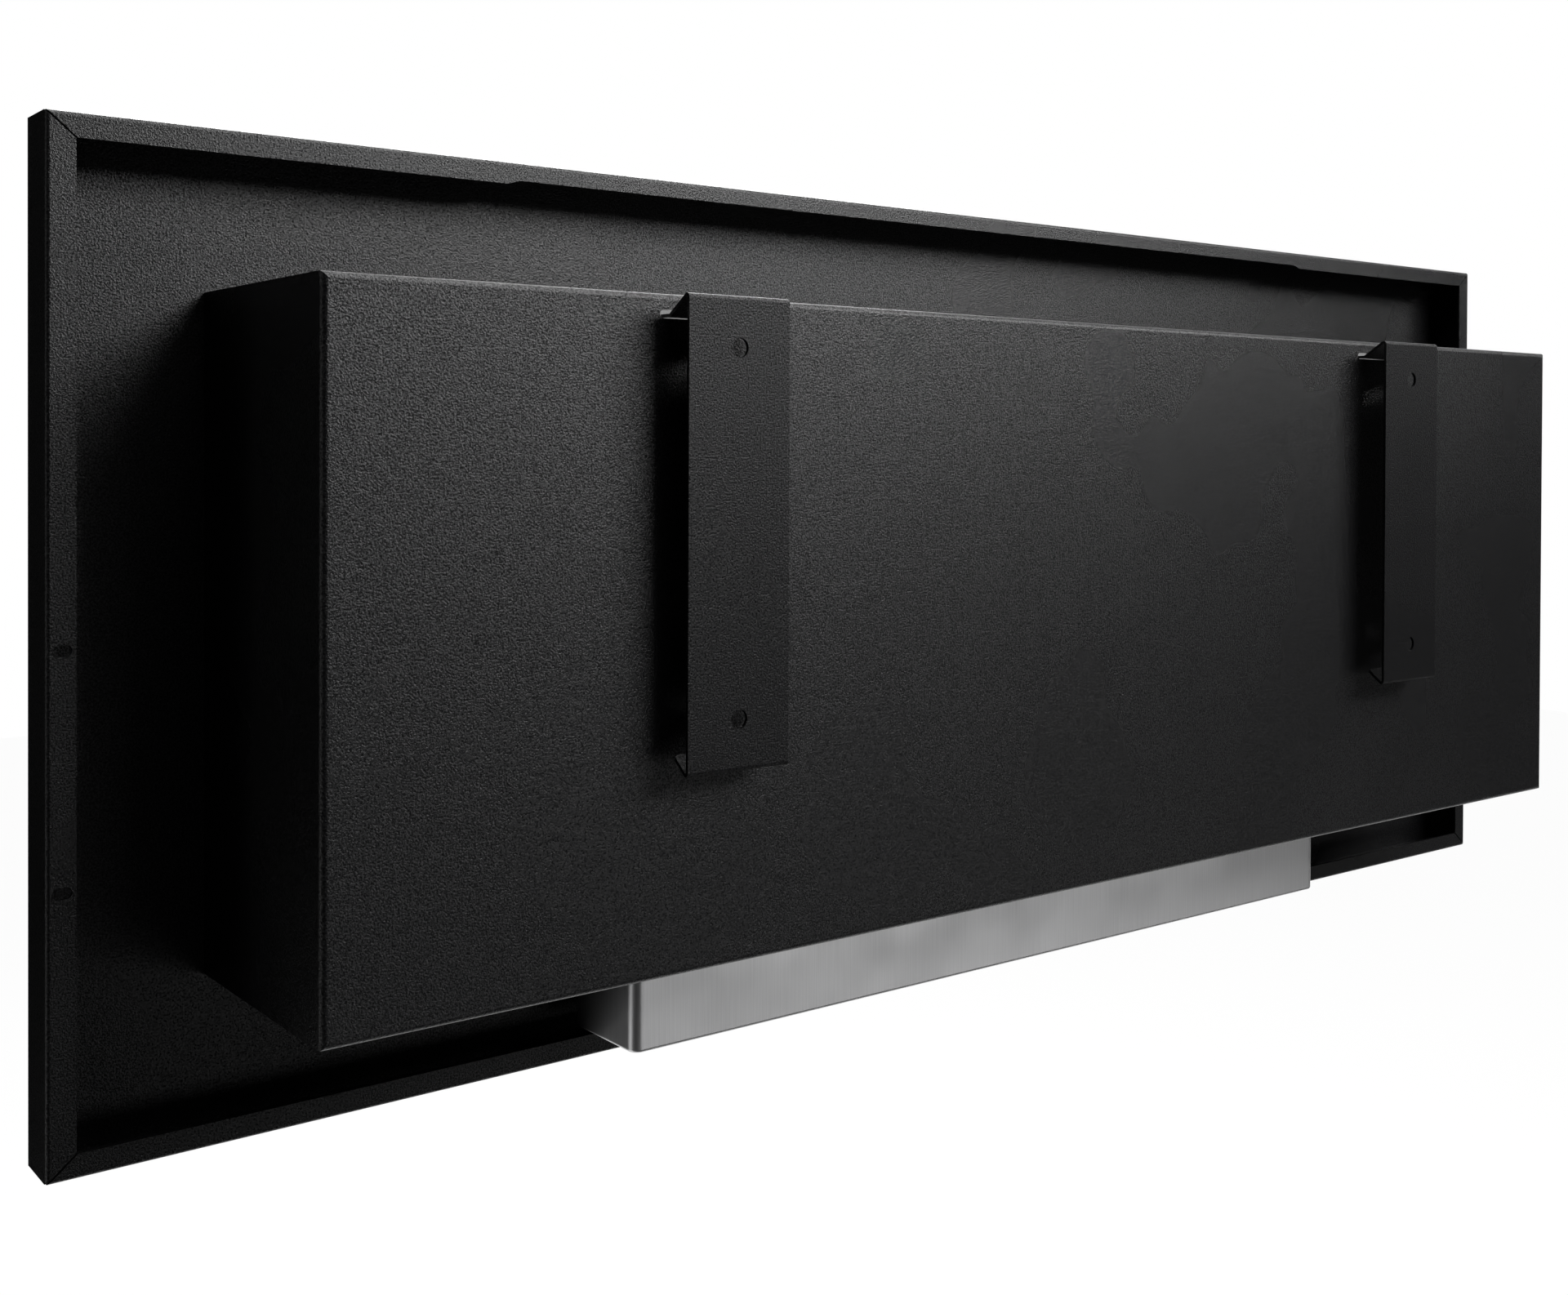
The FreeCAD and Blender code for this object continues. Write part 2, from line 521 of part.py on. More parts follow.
def all_parts():
    """Every node's name and shape."""
    parts = {
        "front_frame": front_frame(),
        "firebox_casing": firebox_casing(),
        "burner_tray": burner_tray(),
        "fuel_tank": fuel_tank(),
        "tank_spacers": tank_spacers(),
        "wool_retainer": wool_retainer(),
        "burner_top_plate": burner_top_plate(),
        "top_plate_gasket": top_plate_gasket(),
        "guide_rail_front": guide_rail(-1),
        "guide_rail_rear": guide_rail(1),
        "rail_rivets": rail_rivets(),
        "shutter_stops": shutter_stops(),
    }
    for name, side in (("left", -1), ("right", 1)):
        parts["wall_bracket_" + name] = wall_bracket(side)
        parts["fuel_wool_" + name] = fuel_wool(side)
        parts["shutter_" + name] = shutter(side)
        parts["shutter_knob_" + name] = shutter_knob(side)
    return parts


os.makedirs("parts", exist_ok=True)
for node, shape in all_parts().items():
    shape.exportStep("parts/" + node + ".step")
print("shutter travel", SHUTTER_TRAVEL)
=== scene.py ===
"""Looks for a wall-hung bioethanol fireplace: finishes, wool, retainer, camera and light.

Run as a script inside Blender. Metres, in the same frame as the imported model.
"""
import math

import bmesh
import bpy
from bpy.props import FloatProperty, FloatVectorProperty, IntProperty, PointerProperty
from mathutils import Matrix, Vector, noise


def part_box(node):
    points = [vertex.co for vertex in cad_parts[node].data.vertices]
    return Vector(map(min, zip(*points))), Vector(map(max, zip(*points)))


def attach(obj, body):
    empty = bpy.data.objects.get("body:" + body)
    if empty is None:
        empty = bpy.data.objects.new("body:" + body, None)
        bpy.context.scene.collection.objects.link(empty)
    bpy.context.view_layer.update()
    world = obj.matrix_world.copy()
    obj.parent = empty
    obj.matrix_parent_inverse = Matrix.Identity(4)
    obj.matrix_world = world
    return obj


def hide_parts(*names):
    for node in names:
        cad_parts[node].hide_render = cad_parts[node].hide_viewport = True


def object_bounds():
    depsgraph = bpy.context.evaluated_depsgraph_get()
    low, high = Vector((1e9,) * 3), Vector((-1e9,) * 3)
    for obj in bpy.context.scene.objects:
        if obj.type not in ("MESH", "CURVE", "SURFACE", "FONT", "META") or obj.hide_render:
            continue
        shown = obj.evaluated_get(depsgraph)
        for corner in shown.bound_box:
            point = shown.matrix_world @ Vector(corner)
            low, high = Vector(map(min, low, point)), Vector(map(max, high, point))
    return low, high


bl_info = {
    "name": "Wall Fireplace",
    "version": (1, 0, 0),
    "blender": (4, 5, 0),
    "location": "View3D > Sidebar > Fireplace",
    "description": "Finishes and soft fillings for a wall-hung bioethanol fireplace",
    "category": "Object",
}

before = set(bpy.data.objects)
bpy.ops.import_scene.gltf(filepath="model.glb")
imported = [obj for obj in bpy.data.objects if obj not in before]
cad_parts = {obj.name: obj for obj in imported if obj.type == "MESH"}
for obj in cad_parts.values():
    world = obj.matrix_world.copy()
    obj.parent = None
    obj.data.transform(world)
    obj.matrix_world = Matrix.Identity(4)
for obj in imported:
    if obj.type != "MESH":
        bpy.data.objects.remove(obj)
cad_low, cad_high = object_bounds()

MM = 0.001

# Camera: place in metres, turn in degrees, shift as a share of the picture's width.
CAMERA_PLACE = (0.6523, 0.5745, 0.0341)
CAMERA_TURN = (89.40, -0.23, 142.19)
CAMERA_SHIFT = (-0.0077, -0.1146)
SENSOR_WIDTH = 36.0
# Softboxes, aimed at the fireplace's centre: name, place, width and height.
SOFTBOXES = (("key", (-0.93, 1.27, 1.03), 1.6, 0.85),
             ("top", (-0.2, 0.25, 1.7), 1.6, 0.4),
             ("front", (-0.9, -2.1, 0.95), 1.8, 1.2),
             ("card", (-0.62, 1.22, -0.55), 1.5, 0.45))
WORLD_TURN = (-0.25, 0.05)      # the reflected world goes from white to dim between these Y
FLOOR_DROP = 0.75               # fireplace's bottom to the floor
FLOOR_REACH = 6.0
FLOOR_GLOW = 0.97               # white share of the floor; the rest shows its shadow
FLAG_Y = -1.0
FLAG_X = (0.45, 2.4)
FLAG_Z = (-0.9, 1.2)

UPRIGHT_BRUSHED = ("burner_tray", "fuel_tank", "tank_spacers")
LENGTH_BRUSHED = ("burner_top_plate", "guide_rail_front", "guide_rail_rear",
                  "shutter_left", "shutter_right")
TURNED_NODES = ("shutter_knob_left", "shutter_knob_right", "rail_rivets", "shutter_stops")


# --- Small helpers for node trees and meshes ---

def add_node(tree, kind, **values):
    """A node of one kind, with input sockets set by name."""
    made = tree.nodes.new(kind)
    for name, value in values.items():
        made.inputs[name.replace("_", " ")].default_value = value
    return made


def new_material(name):
    """An empty node material: its tree, its Principled shader and the material."""
    material = bpy.data.materials.new(name)
    material.use_nodes = True
    tree = material.node_tree
    tree.nodes.clear()
    shader = tree.nodes.new("ShaderNodeBsdfPrincipled")
    output = tree.nodes.new("ShaderNodeOutputMaterial")
    tree.links.new(shader.outputs["BSDF"], output.inputs["Surface"])
    return material, tree, shader


def object_coordinates(tree, scale=(1.0, 1.0, 1.0)):
    """Object coordinates, stretched by a Mapping node."""
    source = tree.nodes.new("ShaderNodeTexCoord")
    mapping = tree.nodes.new("ShaderNodeMapping")
    mapping.inputs["Scale"].default_value = scale
    tree.links.new(source.outputs["Object"], mapping.inputs["Vector"])
    return mapping.outputs["Vector"]


def noise_field(tree, place, scale, detail=2.0, roughness=0.5):
    """A noise texture's value, on given coordinates."""
    field = add_node(tree, "ShaderNodeTexNoise", Scale=scale, Detail=detail, Roughness=roughness)
    tree.links.new(place, field.inputs["Vector"])
    return field.outputs["Fac"]


def remap(tree, value, low_in, high_in, low_out, high_out):
    """A value moved linearly from one range to another, and clamped."""
    made = tree.nodes.new("ShaderNodeMapRange")
    for name, number in (("From Min", low_in), ("From Max", high_in),
                         ("To Min", low_out), ("To Max", high_out)):
        made.inputs[name].default_value = number
    tree.links.new(value, made.inputs["Value"])
    return made.outputs["Result"]


def calculate(tree, operation, first, second):
    """A Math node's result, from sockets or plain numbers."""
    node = tree.nodes.new("ShaderNodeMath")
    node.operation = operation
    for place, value in enumerate((first, second)):
        if isinstance(value, float):
            node.inputs[place].default_value = value
        else:
            tree.links.new(value, node.inputs[place])
    return node.outputs[0]


def two_colours(tree, value, first, second):
    """A colour between two, by a value from 0 to 1."""
    mix = tree.nodes.new("ShaderNodeMix")
    mix.data_type = "RGBA"
    mix.inputs[6].default_value = (*first, 1.0)
    mix.inputs[7].default_value = (*second, 1.0)
    tree.links.new(value, mix.inputs[0])
    return mix.outputs[2]


def bump(tree, shader, height, strength, distance, below=None):
    """A bump on the shader's normal, on top of another bump if given."""
    made = add_node(tree, "ShaderNodeBump", Strength=strength, Distance=distance)
    tree.links.new(height, made.inputs["Height"])
    if below is not None:
        tree.links.new(below.outputs["Normal"], made.inputs["Normal"])
    tree.links.new(made.outputs["Normal"], shader.inputs["Normal"])
    return made


def mesh_from(name, shape):
    """A mesh from a bmesh, which is freed."""
    mesh = bpy.data.meshes.new(name)
    shape.to_mesh(mesh)
    shape.free()
    return mesh


def finish_piece(name, mesh, material, body):
    """A linked object at the origin with its material and body."""
    piece = bpy.data.objects.new(name, mesh)
    bpy.context.scene.collection.objects.link(piece)
    mesh.materials.clear()
    mesh.materials.append(material)
    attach(piece, body)
    return piece


def dress(nodes, material):
    """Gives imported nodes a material."""
    for node in nodes:
        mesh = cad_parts[node].data
        mesh.materials.clear()
        mesh.materials.append(material)


# --- Finishes ---

def powder_coat(name, settings, shine):
    """Black powder coat with a fine orange-peel grain; shine scales its reflection, and a shine
    below one paints shade.
    """
    material, tree, shader = new_material(name)
    specular = shine * settings.specular
    place = object_coordinates(tree)
    grain = noise_field(tree, place, settings.grain_scale, detail=3.0, roughness=0.6)
    peel = noise_field(tree, place, settings.peel_scale, detail=1.0)
    cloud = noise_field(tree, place, settings.cloud_scale, detail=2.0)
    base = tuple(settings.colour)
    pale = tuple(1.7 * channel for channel in base)
    tree.links.new(two_colours(tree, remap(tree, grain, 0.42, 0.68, 0.0, 1.0), base, pale),
                   shader.inputs["Base Color"])
    tree.links.new(remap(tree, cloud, 0.3, 0.7, settings.roughness - 0.03,
                         settings.roughness + 0.03), shader.inputs["Roughness"])
    tree.links.new(remap(tree, grain, 0.37, 0.63, 0.3 * specular, 1.7 * specular),
                   shader.inputs["Specular IOR Level"])
    under = bump(tree, shader, peel, 0.12, 0.0003)
    bump(tree, shader, grain, settings.grain_strength, 0.00035, under)
    return material


def brushed_steel(name, settings, stretch):
    """Stainless steel with fine brushing; stretch is the scale along X, Y and Z."""
    material, tree, shader = new_material(name)
    lines = noise_field(tree, object_coordinates(tree, stretch), 1.0, detail=3.0, roughness=0.65)
    cloud = noise_field(tree, object_coordinates(tree), 22.0, detail=2.0)
    base = tuple(settings.colour)
    dark = tuple(settings.streak * channel for channel in base)
    tree.links.new(two_colours(tree, remap(tree, lines, 0.32, 0.62, 0.0, 1.0), dark, base),
                   shader.inputs["Base Color"])
    shader.inputs["Metallic"].default_value = 1.0
    tree.links.new(remap(tree, cloud, 0.3, 0.7, settings.roughness - 0.04,
                         settings.roughness + 0.05), shader.inputs["Roughness"])
    bump(tree, shader, lines, 0.25, 0.00003)
    return material


def turned_steel(settings):
    """Bright turned steel for knobs, pins and rivets."""
    material, tree, shader = new_material("turned_steel")
    rings = noise_field(tree, object_coordinates(tree, (60.0, 60.0, 2500.0)), 1.0, detail=2.0)
    base = tuple(settings.colour)
    tree.links.new(two_colours(tree, rings, tuple(0.8 * c for c in base),
                               tuple(1.15 * c for c in base)), shader.inputs["Base Color"])
    shader.inputs["Metallic"].default_value = 1.0
    tree.links.new(remap(tree, rings, 0.3, 0.7, 0.2, 0.34), shader.inputs["Roughness"])
    bump(tree, shader, rings, 0.2, 0.00002)
    return material


def ceramic(name, colour, settings):
    """Matte ceramic fibre, with tangled strands in its bump and colour."""
    material, tree, shader = new_material(name)
    place = object_coordinates(tree)
    tangle = noise_field(tree, place, settings.strand_scale, detail=4.0, roughness=0.7)
    lump = noise_field(tree, place, settings.strand_scale / 9, detail=2.0)
    shade = tuple(0.72 * channel for channel in colour)
    tree.links.new(two_colours(tree, remap(tree, tangle, 0.35, 0.65, 0.0, 1.0), shade,
                               tuple(colour)), shader.inputs["Base Color"])
    shader.inputs["Roughness"].default_value = 0.95
    shader.inputs["Specular IOR Level"].default_value = 0.15
    under = bump(tree, shader, lump, 0.5, 0.0008)
    bump(tree, shader, tangle, 0.7, 0.0004, under)
    return material


# --- Sizes and colours that a user would change ---

class FIREPLACE_PG_coat(bpy.types.PropertyGroup):
    colour: FloatVectorProperty(
        name="Colour", description="Base colour of the powder coat", subtype="COLOR",
        min=0.0, max=1.0, default=(0.0027, 0.0027, 0.0029))
    roughness: FloatProperty(
        name="Roughness", description="Mean roughness of the coat", default=0.28, min=0.1, max=1.0)
    specular: FloatProperty(
        name="Specular", description="Strength of the coat's reflection", default=0.28,
        min=0.0, max=1.0)
    # Painted shade: the brackets take the same coat with weaker reflection, so they render darker.
    bracket_shaded_shine: FloatProperty(
        name="Bracket shaded shine", description="Reflection of the brackets, as a share of the rest",
        default=0.58, min=0.0, max=1.0)
    grain_scale: FloatProperty(
        name="Grain scale", description="Grains in one metre", default=1300.0, min=100.0)
    grain_strength: FloatProperty(
        name="Grain strength", description="Strength of the grain's bump", default=0.9,
        min=0.0, max=1.0)
    peel_scale: FloatProperty(
        name="Peel scale", description="Orange-peel waves in one metre", default=330.0, min=10.0)
    cloud_scale: FloatProperty(
        name="Cloud scale", description="Patches of roughness in one metre", default=9.0, min=1.0)


class FIREPLACE_PG_steel(bpy.types.PropertyGroup):
    colour: FloatVectorProperty(
        name="Colour", description="Base colour of the stainless steel", subtype="COLOR",
        min=0.0, max=1.0, default=(0.62, 0.62, 0.625))
    roughness: FloatProperty(
        name="Roughness", description="Mean roughness of the brushed steel", default=0.4,
        min=0.05, max=1.0)
    streak: FloatProperty(
        name="Streak", description="Brightness of the dark brush lines", default=0.88,
        min=0.0, max=1.0)
    across: FloatProperty(
        name="Lines", description="Brush lines in one metre", default=1500.0, min=100.0)
    along: FloatProperty(
        name="Breaks", description="Breaks in one metre of a brush line", default=14.0, min=1.0)


class FIREPLACE_PG_wool(bpy.types.PropertyGroup):
    colour: FloatVectorProperty(
        name="Colour", description="Colour of the ceramic wool", subtype="COLOR",
        min=0.0, max=1.0, default=(0.78, 0.76, 0.71))
    strand_scale: FloatProperty(
        name="Strand scale", description="Strands in one metre", default=900.0, min=50.0)
    lump: FloatProperty(
        name="Lump", description="Height of the wool's lumps", default=0.9 * MM, unit="LENGTH")
    cell: FloatProperty(
        name="Cell", description="Size of a mesh cell of the wool", default=2.4 * MM,
        unit="LENGTH", min=0.5 * MM)
    fibres: IntProperty(
        name="Fibres", description="Loose fibres on top of each pad", default=420, min=0)
    fibre_length: FloatProperty(
        name="Fibre length", description="Length of a loose fibre", default=7.0 * MM,
        unit="LENGTH")
    fibre_radius: FloatProperty(
        name="Fibre radius", description="Radius of a loose fibre", default=0.09 * MM,
        unit="LENGTH")
    seed: IntProperty(name="Seed", description="Seed of the loose fibres", default=7)


class FIREPLACE_PG_retainer(bpy.types.PropertyGroup):
    pitch: FloatProperty(
        name="Pitch", description="Distance between holes", default=5.0 * MM, unit="LENGTH")
    hole: FloatProperty(
        name="Hole radius", description="Radius of each hole", default=1.6 * MM, unit="LENGTH")


class FIREPLACE_PG_stage(bpy.types.PropertyGroup):
    lens: FloatProperty(
        name="Lens", description="Focal length in millimetres on a 36 mm sensor",
        default=40.41, min=10.0)
    key_power: FloatProperty(
        name="Key power", description="Power of the key softbox", default=68.0, min=0.0,
        unit="POWER")
    top_power: FloatProperty(
        name="Top power", description="Power of the overhead strip", default=30.0, min=0.0,
        unit="POWER")
    front_power: FloatProperty(
        name="Front power", description="Power of the softbox in front", default=90.0,
        min=0.0, unit="POWER")
    card_power: FloatProperty(
        name="Card power", description="Power of the low bounce card", default=2.3, min=0.0,
        unit="POWER")
    back_world: FloatProperty(
        name="Back world", description="Brightness that reflections see towards the wall",
        default=0.04, min=0.0, max=1.0)
    diffuse_world: FloatProperty(
        name="Diffuse world", description="How much the white room lights matt surfaces",
        default=0.06, min=0.0, max=1.0)


# --- Operators: one for each piece or group of like pieces, and one for the stage ---

class FIREPLACE_OT_coat(bpy.types.Operator):
    """Coat the frame, the casing and the wall brackets"""
    bl_idname = "fireplace.coat"
    bl_label = "Powder Coat"

    def execute(self, context):
        settings = context.scene.fireplace_coat
        dress(("front_frame", "firebox_casing"), powder_coat("black_powder_coat", settings, 1.0))
        # The brackets' copy of the coat reflects less than the rest: painted shade on the same
        # finish.
        dress(("wall_bracket_left", "wall_bracket_right"),
              powder_coat("bracket_powder_coat", settings, settings.bracket_shaded_shine))
        return {"FINISHED"}


class FIREPLACE_OT_steel(bpy.types.Operator):
    """Brush the burner's sheet metal and turn its knobs, pins and rivets"""
    bl_idname = "fireplace.steel"
    bl_label = "Burner Steel"

    def execute(self, context):
        settings = context.scene.fireplace_steel
        across, along = settings.across, settings.along
        dress(UPRIGHT_BRUSHED, brushed_steel("upright_brushed_steel", settings,
                                             (across, across, along)))
        dress(LENGTH_BRUSHED, brushed_steel("length_brushed_steel", settings,
                                            (along, across, across)))
        dress(TURNED_NODES, turned_steel(settings))
        return {"FINISHED"}


class FIREPLACE_OT_gasket(bpy.types.Operator):
    """Finish the flat ceramic gasket under the top plate"""
    bl_idname = "fireplace.gasket"
    bl_label = "Gasket"

    def execute(self, context):
        settings = context.scene.fireplace_wool
        dress(["top_plate_gasket"], ceramic("ceramic_gasket", settings.colour, settings))
        return {"FINISHED"}


def fibre_tree(material):
    """Geometry Nodes: short bent fibres scattered on the faces that point up."""
    tree = bpy.data.node_groups.new("loose_fibres", "GeometryNodeTree")
    face = tree.interface
    face.new_socket("Geometry", in_out="INPUT", socket_type="NodeSocketGeometry")
    for name, kind in (("Density", "NodeSocketFloat"), ("Length", "NodeSocketFloat"),
                       ("Radius", "NodeSocketFloat"), ("Seed", "NodeSocketInt")):
        face.new_socket(name, in_out="INPUT", socket_type=kind)
    face.new_socket("Geometry", in_out="OUTPUT", socket_type="NodeSocketGeometry")
    link = tree.links.new
    given = tree.nodes.new("NodeGroupInput")
    result = tree.nodes.new("NodeGroupOutput")
    normal = tree.nodes.new("GeometryNodeInputNormal")
    split = tree.nodes.new("ShaderNodeSeparateXYZ")
    upward = tree.nodes.new("FunctionNodeCompare")
    upward.inputs["B"].default_value = 0.7
    link(normal.outputs[0], split.inputs[0])
    link(split.outputs["Z"], upward.inputs["A"])
    scatter = tree.nodes.new("GeometryNodeDistributePointsOnFaces")
    link(given.outputs["Geometry"], scatter.inputs["Mesh"])
    link(upward.outputs[0], scatter.inputs["Selection"])
    link(given.outputs["Density"], scatter.inputs["Density"])
    link(given.outputs["Seed"], scatter.inputs["Seed"])
    spine = tree.nodes.new("GeometryNodeCurveQuadraticBezier")
    spine.inputs["Resolution"].default_value = 5
    length = given.outputs["Length"]
    for axis, share, socket in (("X", -0.5, "Start"), ("X", 0.5, "End"), ("Y", 0.3, "Middle")):
        point = tree.nodes.new("ShaderNodeCombineXYZ")
        link(calculate(tree, "MULTIPLY", length, share), point.inputs[axis])
        link(point.outputs[0], spine.inputs[socket])
    ring = tree.nodes.new("GeometryNodeCurvePrimitiveCircle")
    ring.inputs["Resolution"].default_value = 3
    link(given.outputs["Radius"], ring.inputs["Radius"])
    tube = tree.nodes.new("GeometryNodeCurveToMesh")
    tube.inputs["Fill Caps"].default_value = True
    link(spine.outputs[0], tube.inputs["Curve"])
    link(ring.outputs[0], tube.inputs["Profile Curve"])
    turn = tree.nodes.new("FunctionNodeRandomValue")
    turn.data_type = "FLOAT_VECTOR"
    turn.inputs[0].default_value = (-0.06, -0.06, 0.0)
    turn.inputs[1].default_value = (0.06, 0.06, math.tau)
    link(given.outputs["Seed"], turn.inputs["Seed"])
    place = tree.nodes.new("GeometryNodeInstanceOnPoints")
    link(scatter.outputs["Points"], place.inputs["Points"])
    link(tube.outputs[0], place.inputs["Instance"])
    link(turn.outputs[0], place.inputs["Rotation"])
    joined = tree.nodes.new("GeometryNodeJoinGeometry")
    link(given.outputs["Geometry"], joined.inputs[0])
    link(place.outputs[0], joined.inputs[0])
    realised = tree.nodes.new("GeometryNodeRealizeInstances")
    link(joined.outputs[0], realised.inputs[0])
    paint = tree.nodes.new("GeometryNodeSetMaterial")
    paint.inputs["Material"].default_value = material
    link(realised.outputs[0], paint.inputs[0])
    link(paint.outputs[0], result.inputs[0])
    return tree


def through_nodes(mesh, tree, values):
    """A plain mesh from a mesh put through a node tree with named inputs."""
    carrier = bpy.data.objects.new("carrier", mesh)
    bpy.context.scene.collection.objects.link(carrier)
    modifier = carrier.modifiers.new("nodes", "NODES")
    modifier.node_group = tree
    for item in tree.interface.items_tree:
        if item.in_out == "INPUT" and item.name in values:
            modifier[item.identifier] = values[item.name]
    bpy.context.view_layer.update()
    depsgraph = bpy.context.evaluated_depsgraph_get()
    plain = bpy.data.meshes.new_from_object(carrier.evaluated_get(depsgraph))
    carrier.modifiers.remove(modifier)
    bpy.data.objects.remove(carrier)
    return plain


def padded_block(low, high, cell, lump, seed):
    """A soft block: a grid of cells with rounded edges and a lumpy surface."""
    shape = bmesh.new()
    size = high - low
    bmesh.ops.create_cube(shape, size=1.0)
    for axis in range(3):
        cuts = max(1, round(size[axis] / cell / (2.2 if axis == 0 else 1.0)))
        along = [edge for edge in shape.edges
                 if abs((edge.verts[0].co - edge.verts[1].co)[axis]) > 1e-4]
        bmesh.ops.subdivide_edges(shape, edges=along, cuts=cuts, use_grid_fill=True)
    middle = (low + high) / 2
    soft = 2.5 * MM
    for vert in shape.verts:
        place = Vector([vert.co[axis] * size[axis] for axis in range(3)])
        core = Vector([max(-size[a] / 2 + soft, min(size[a] / 2 - soft, place[a]))
                       for a in range(3)])
        out = place - core
        if out.length > 0:
            out = out.normalized() * soft
        wave = noise.noise((place + middle) * 160.0 + Vector((seed, 0.0, 0.0)))
        fine = noise.noise((place + middle) * 620.0 + Vector((0.0, seed, 0.0)))
        depth = lump * (0.62 + 0.3 * wave + 0.12 * fine)
        vert.co = middle + core + out * (1.0 - depth / soft)
    bmesh.ops.recalc_face_normals(shape, faces=shape.faces)
    return shape


class FIREPLACE_OT_wool(bpy.types.Operator):
    """Fill the tank with two pads of ceramic wool"""
    bl_idname = "fireplace.wool"
    bl_label = "Ceramic Wool"

    def execute(self, context):
        settings = context.scene.fireplace_wool
        material = ceramic("ceramic_wool", settings.colour, settings)
        tree = fibre_tree(material)
        for side in ("left", "right"):
            node = "fuel_wool_" + side
            low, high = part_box(node)
            shape = padded_block(low, high, settings.cell, settings.lump, len(side))
            area = (high.x - low.x) * (high.y - low.y)
            plain = through_nodes(mesh_from(node, shape), tree, {
                "Density": settings.fibres / area, "Length": settings.fibre_length,
                "Radius": settings.fibre_radius, "Seed": settings.seed})
            for vert in plain.vertices:
                vert.co.x = min(max(vert.co.x, low.x), high.x)
                vert.co.y = min(max(vert.co.y, low.y), high.y)
                vert.co.z = min(max(vert.co.z, low.z), high.z)
            piece = finish_piece("wool_pad_" + side, plain, material, "burner")
            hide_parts(node)
        return {"FINISHED"}


def perforation_tree(material):
    """Geometry Nodes: a flat sheet with staggered rows of round holes."""
    tree = bpy.data.node_groups.new("perforated_sheet", "GeometryNodeTree")
    face = tree.interface
    face.new_socket("Geometry", in_out="INPUT", socket_type="NodeSocketGeometry")
    for name in ("Length", "Depth", "Hole Radius"):
        face.new_socket(name, in_out="INPUT", socket_type="NodeSocketFloat")
    face.new_socket("Geometry", in_out="OUTPUT", socket_type="NodeSocketGeometry")
    link = tree.links.new
    given = tree.nodes.new("NodeGroupInput")
    result = tree.nodes.new("NodeGroupOutput")
    points = tree.nodes.new("GeometryNodeMeshToPoints")
    link(given.outputs["Geometry"], points.inputs["Mesh"])
    ring = tree.nodes.new("GeometryNodeCurvePrimitiveCircle")
    ring.inputs["Resolution"].default_value = 12
    link(given.outputs["Hole Radius"], ring.inputs["Radius"])
    holes = tree.nodes.new("GeometryNodeInstanceOnPoints")
    link(points.outputs[0], holes.inputs["Points"])
    link(ring.outputs[0], holes.inputs["Instance"])
    outline = tree.nodes.new("GeometryNodeCurvePrimitiveQuadrilateral")
    link(given.outputs["Length"], outline.inputs["Width"])
    link(given.outputs["Depth"], outline.inputs["Height"])
    joined = tree.nodes.new("GeometryNodeJoinGeometry")
    link(outline.outputs[0], joined.inputs[0])
    link(holes.outputs[0], joined.inputs[0])
    realised = tree.nodes.new("GeometryNodeRealizeInstances")
    link(joined.outputs[0], realised.inputs[0])
    filled = tree.nodes.new("GeometryNodeFillCurve")
    link(realised.outputs[0], filled.inputs[0])
    paint = tree.nodes.new("GeometryNodeSetMaterial")
    paint.inputs["Material"].default_value = material
    link(filled.outputs[0], paint.inputs[0])
    link(paint.outputs[0], result.inputs[0])
    return tree


class FIREPLACE_OT_retainer(bpy.types.Operator):
    """Make the perforated sheet that lies on the wool"""
    bl_idname = "fireplace.retainer"
    bl_label = "Wool Retainer"

    def execute(self, context):
        settings = context.scene.fireplace_retainer
        steel = context.scene.fireplace_steel
        material = brushed_steel("perforated_steel", steel,
                                 (steel.along, steel.across, steel.across))
        low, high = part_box("wool_retainer")
        size = high - low
        row_pitch = settings.pitch * math.sqrt(3) / 2
        rows = int((size.y / 2 - settings.pitch) / row_pitch)
        columns = int((size.x / 2 - settings.pitch) / settings.pitch)
        shape = bmesh.new()
        for row in range(-rows, rows + 1):
            shift = settings.pitch / 2 if row % 2 else 0.0
            for column in range(-columns, columns + (0 if row % 2 else 1)):
                shape.verts.new((column * settings.pitch + shift, row * row_pitch, 0.0))
        flat = through_nodes(mesh_from("hole_places", shape), perforation_tree(material), {
            "Length": size.x, "Depth": size.y, "Hole Radius": settings.hole})
        middle = (low + high) / 2
        sheet = bmesh.new()
        sheet.from_mesh(flat)
        bmesh.ops.recalc_face_normals(sheet, faces=sheet.faces)
        top = bmesh.ops.extrude_face_region(sheet, geom=sheet.faces[:])
        raised = [item for item in top["geom"] if isinstance(item, bmesh.types.BMVert)]
        bmesh.ops.translate(sheet, verts=raised, vec=(0.0, 0.0, size.z))
        bmesh.ops.translate(sheet, verts=sheet.verts[:], vec=(middle.x, middle.y, low.z))
        bmesh.ops.recalc_face_normals(sheet, faces=sheet.faces)
        mesh = mesh_from("perforated_retainer", sheet)
        piece = finish_piece("perforated_retainer", mesh, material, "burner")
        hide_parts("wool_retainer")
        return {"FINISHED"}


def softbox(name, place, target, width, height, power):
    """A rectangular area light that points at a target."""
    data = bpy.data.lights.new(name, "AREA")
    data.shape = "RECTANGLE"
    data.size = width
    data.size_y = height
    data.energy = power
    light = bpy.data.objects.new(name, data)
    bpy.context.scene.collection.objects.link(light)
    light.location = place
    light.rotation_euler = (Vector(target) - Vector(place)).to_track_quat("-Z", "Y").to_euler()


